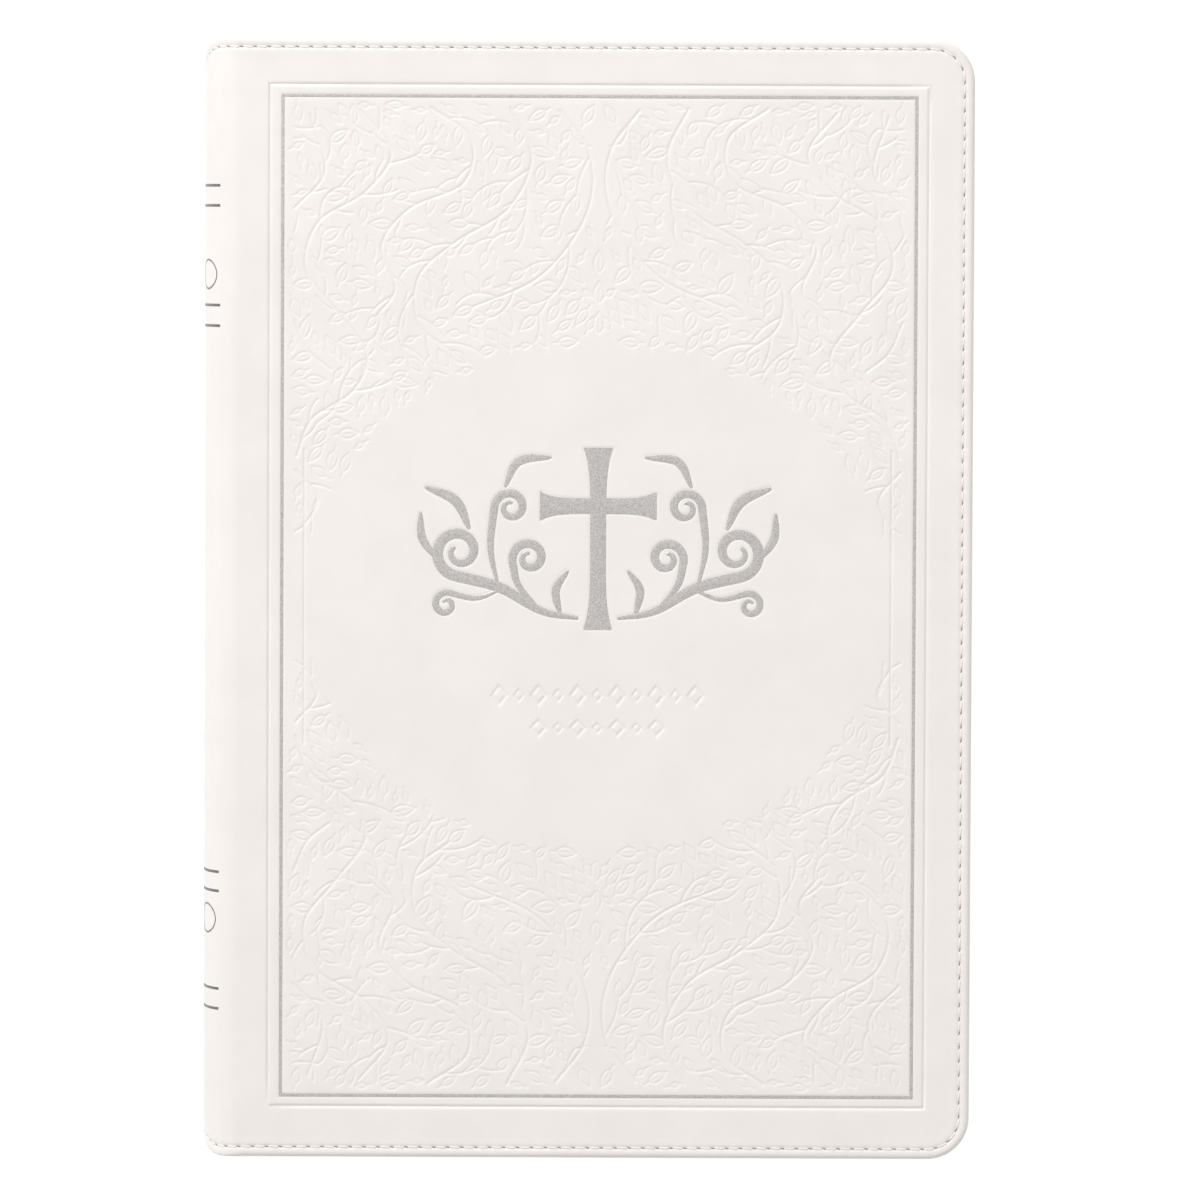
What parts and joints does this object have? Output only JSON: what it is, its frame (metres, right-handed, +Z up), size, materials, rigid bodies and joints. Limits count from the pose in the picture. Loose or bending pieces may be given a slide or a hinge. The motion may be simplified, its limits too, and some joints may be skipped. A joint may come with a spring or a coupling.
{
  "type": "bible",
  "caption": "Large white leather-look Bible, hollow-backed: hinged covers with stitched edges, a debossed vine field in a silver foil rule, page sections that open flat, and a ribbon.",
  "frame": {"origin": "middle of the closed book's underside, on the surface that it lies on", "axes": "+X from the spine to the fore-edge, +Y from the tail to the head, +Z up out of the front cover"},
  "size_m": [0.165, 0.24, 0.036],
  "materials": {
    "leather": "white leather-look vinyl, smooth, fine grain, satin",
    "lining": "white leather-look lining, matt",
    "board": "grey binder's card",
    "thread": "off-white twisted polyester thread",
    "paper": "thin cream Bible paper",
    "endpaper": "heavy white endpaper",
    "mull": "open cotton scrim, glued",
    "band": "white and grey corded band",
    "ribbon": "white satin",
    "foil": "silver hot-stamped foil, fine speckle"
  },
  "bodies": {
    "back_cover": {"back_leather": "leather", "back_board": "board", "back_lining": "lining", "back_pastedown": "endpaper", "back_stitching": "thread"},
    "spine": {"spine_leather": "leather", "spine_liner": "board", "spine_head_stitching": "thread", "spine_tail_stitching": "thread", "mull": "mull", "headband": "band", "tailband": "band", "section_01_fold": "paper", "section_02_fold": "paper", "section_03_fold": "paper", "section_04_fold": "paper", "section_05_fold": "paper", "section_06_fold": "paper", "section_07_fold": "paper", "section_08_fold": "paper", "section_09_fold": "paper", "section_10_fold": "paper", "section_11_fold": "paper", "section_12_fold": "paper"},
    "front_cover": {"front_leather": "leather", "front_board": "board", "front_lining": "lining", "front_pastedown": "endpaper", "front_stitching": "thread"},
    "section_01": {"section_01_leaves": "paper"},
    "section_02": {"section_02_leaves": "paper"},
    "section_03": {"section_03_leaves": "paper"},
    "section_04": {"section_04_leaves": "paper"},
    "section_05": {"section_05_leaves": "paper"},
    "section_06": {"section_06_leaves": "paper", "ribbon_marker": "ribbon"},
    "section_07": {"section_07_leaves": "paper"},
    "section_08": {"section_08_leaves": "paper"},
    "section_09": {"section_09_leaves": "paper"},
    "section_10": {"section_10_leaves": "paper"},
    "section_11": {"section_11_leaves": "paper"},
    "section_12": {"section_12_leaves": "paper"},
    "back_flyleaf": {"back_flyleaf": "endpaper"},
    "front_flyleaf": {"front_flyleaf": "endpaper"}
  },
  "joints": [
    {"name": "back_cover_hinge", "type": "hinge", "parent": "back_cover", "child": "spine", "pos_m": [-0.0795, 0, 0.003], "axis": [0, -1, 0], "range_deg": [0, 90]},
    {"name": "front_cover_hinge", "type": "hinge", "parent": "spine", "child": "front_cover", "pos_m": [-0.0795, 0, 0.033], "axis": [0, -1, 0], "range_deg": [0, 90]},
    {"name": "back_flyleaf_turn", "type": "hinge", "parent": "spine", "child": "back_flyleaf", "pos_m": [-0.0755, 0, 0.007], "axis": [0, -1, 0], "range_deg": [-90, 0]},
    {"name": "section_01_turn", "type": "hinge", "parent": "spine", "child": "section_01", "pos_m": [-0.07475, 0, 0.00775], "axis": [0, -1, 0], "range_deg": [-90, 0], "deforming": ["section_01_fold"]},
    {"name": "section_02_turn", "type": "hinge", "parent": "spine", "child": "section_02", "pos_m": [-0.07364, 0, 0.00886], "axis": [0, -1, 0], "range_deg": [-90, 0], "deforming": ["section_02_fold"]},
    {"name": "section_03_turn", "type": "hinge", "parent": "spine", "child": "section_03", "pos_m": [-0.07253, 0, 0.00997], "axis": [0, -1, 0], "range_deg": [-90, 0], "deforming": ["section_03_fold"]},
    {"name": "section_04_turn", "type": "hinge", "parent": "spine", "child": "section_04", "pos_m": [-0.07142, 0, 0.01108], "axis": [0, -1, 0], "range_deg": [-90, 0], "deforming": ["section_04_fold"]},
    {"name": "section_05_turn", "type": "hinge", "parent": "spine", "child": "section_05", "pos_m": [-0.07032, 0, 0.01218], "axis": [0, -1, 0], "range_deg": [-90, 0], "deforming": ["section_05_fold"]},
    {"name": "section_06_turn", "type": "hinge", "parent": "spine", "child": "section_06", "pos_m": [-0.06921, 0, 0.01329], "axis": [0, -1, 0], "range_deg": [-90, 0], "deforming": ["section_06_fold"]},
    {"name": "section_07_turn", "type": "hinge", "parent": "spine", "child": "section_07", "pos_m": [-0.06921, 0, 0.02271], "axis": [0, -1, 0], "range_deg": [0, 90], "deforming": ["section_07_fold"]},
    {"name": "section_08_turn", "type": "hinge", "parent": "spine", "child": "section_08", "pos_m": [-0.07032, 0, 0.02382], "axis": [0, -1, 0], "range_deg": [0, 90], "deforming": ["section_08_fold"]},
    {"name": "section_09_turn", "type": "hinge", "parent": "spine", "child": "section_09", "pos_m": [-0.07142, 0, 0.02492], "axis": [0, -1, 0], "range_deg": [0, 90], "deforming": ["section_09_fold"]},
    {"name": "section_10_turn", "type": "hinge", "parent": "spine", "child": "section_10", "pos_m": [-0.07253, 0, 0.02603], "axis": [0, -1, 0], "range_deg": [0, 90], "deforming": ["section_10_fold"]},
    {"name": "section_11_turn", "type": "hinge", "parent": "spine", "child": "section_11", "pos_m": [-0.07364, 0, 0.02714], "axis": [0, -1, 0], "range_deg": [0, 90], "deforming": ["section_11_fold"]},
    {"name": "section_12_turn", "type": "hinge", "parent": "spine", "child": "section_12", "pos_m": [-0.07475, 0, 0.02825], "axis": [0, -1, 0], "range_deg": [0, 90], "deforming": ["section_12_fold"]},
    {"name": "front_flyleaf_turn", "type": "hinge", "parent": "spine", "child": "front_flyleaf", "pos_m": [-0.0755, 0, 0.029], "axis": [0, -1, 0], "range_deg": [0, 90]}
  ],
  "couplings": [
    {"joint": "back_flyleaf_turn", "follows": "back_cover_hinge", "ratio": -1},
    {"joint": "section_01_turn", "follows": "back_cover_hinge", "ratio": -1},
    {"joint": "section_02_turn", "follows": "back_cover_hinge", "ratio": -1},
    {"joint": "section_03_turn", "follows": "back_cover_hinge", "ratio": -1},
    {"joint": "section_04_turn", "follows": "back_cover_hinge", "ratio": -1},
    {"joint": "section_05_turn", "follows": "back_cover_hinge", "ratio": -1},
    {"joint": "section_06_turn", "follows": "back_cover_hinge", "ratio": -1},
    {"joint": "section_07_turn", "follows": "front_cover_hinge", "ratio": 1},
    {"joint": "section_08_turn", "follows": "front_cover_hinge", "ratio": 1},
    {"joint": "section_09_turn", "follows": "front_cover_hinge", "ratio": 1},
    {"joint": "section_10_turn", "follows": "front_cover_hinge", "ratio": 1},
    {"joint": "section_11_turn", "follows": "front_cover_hinge", "ratio": 1},
    {"joint": "section_12_turn", "follows": "front_cover_hinge", "ratio": 1},
    {"joint": "front_flyleaf_turn", "follows": "front_cover_hinge", "ratio": 1}
  ]
}
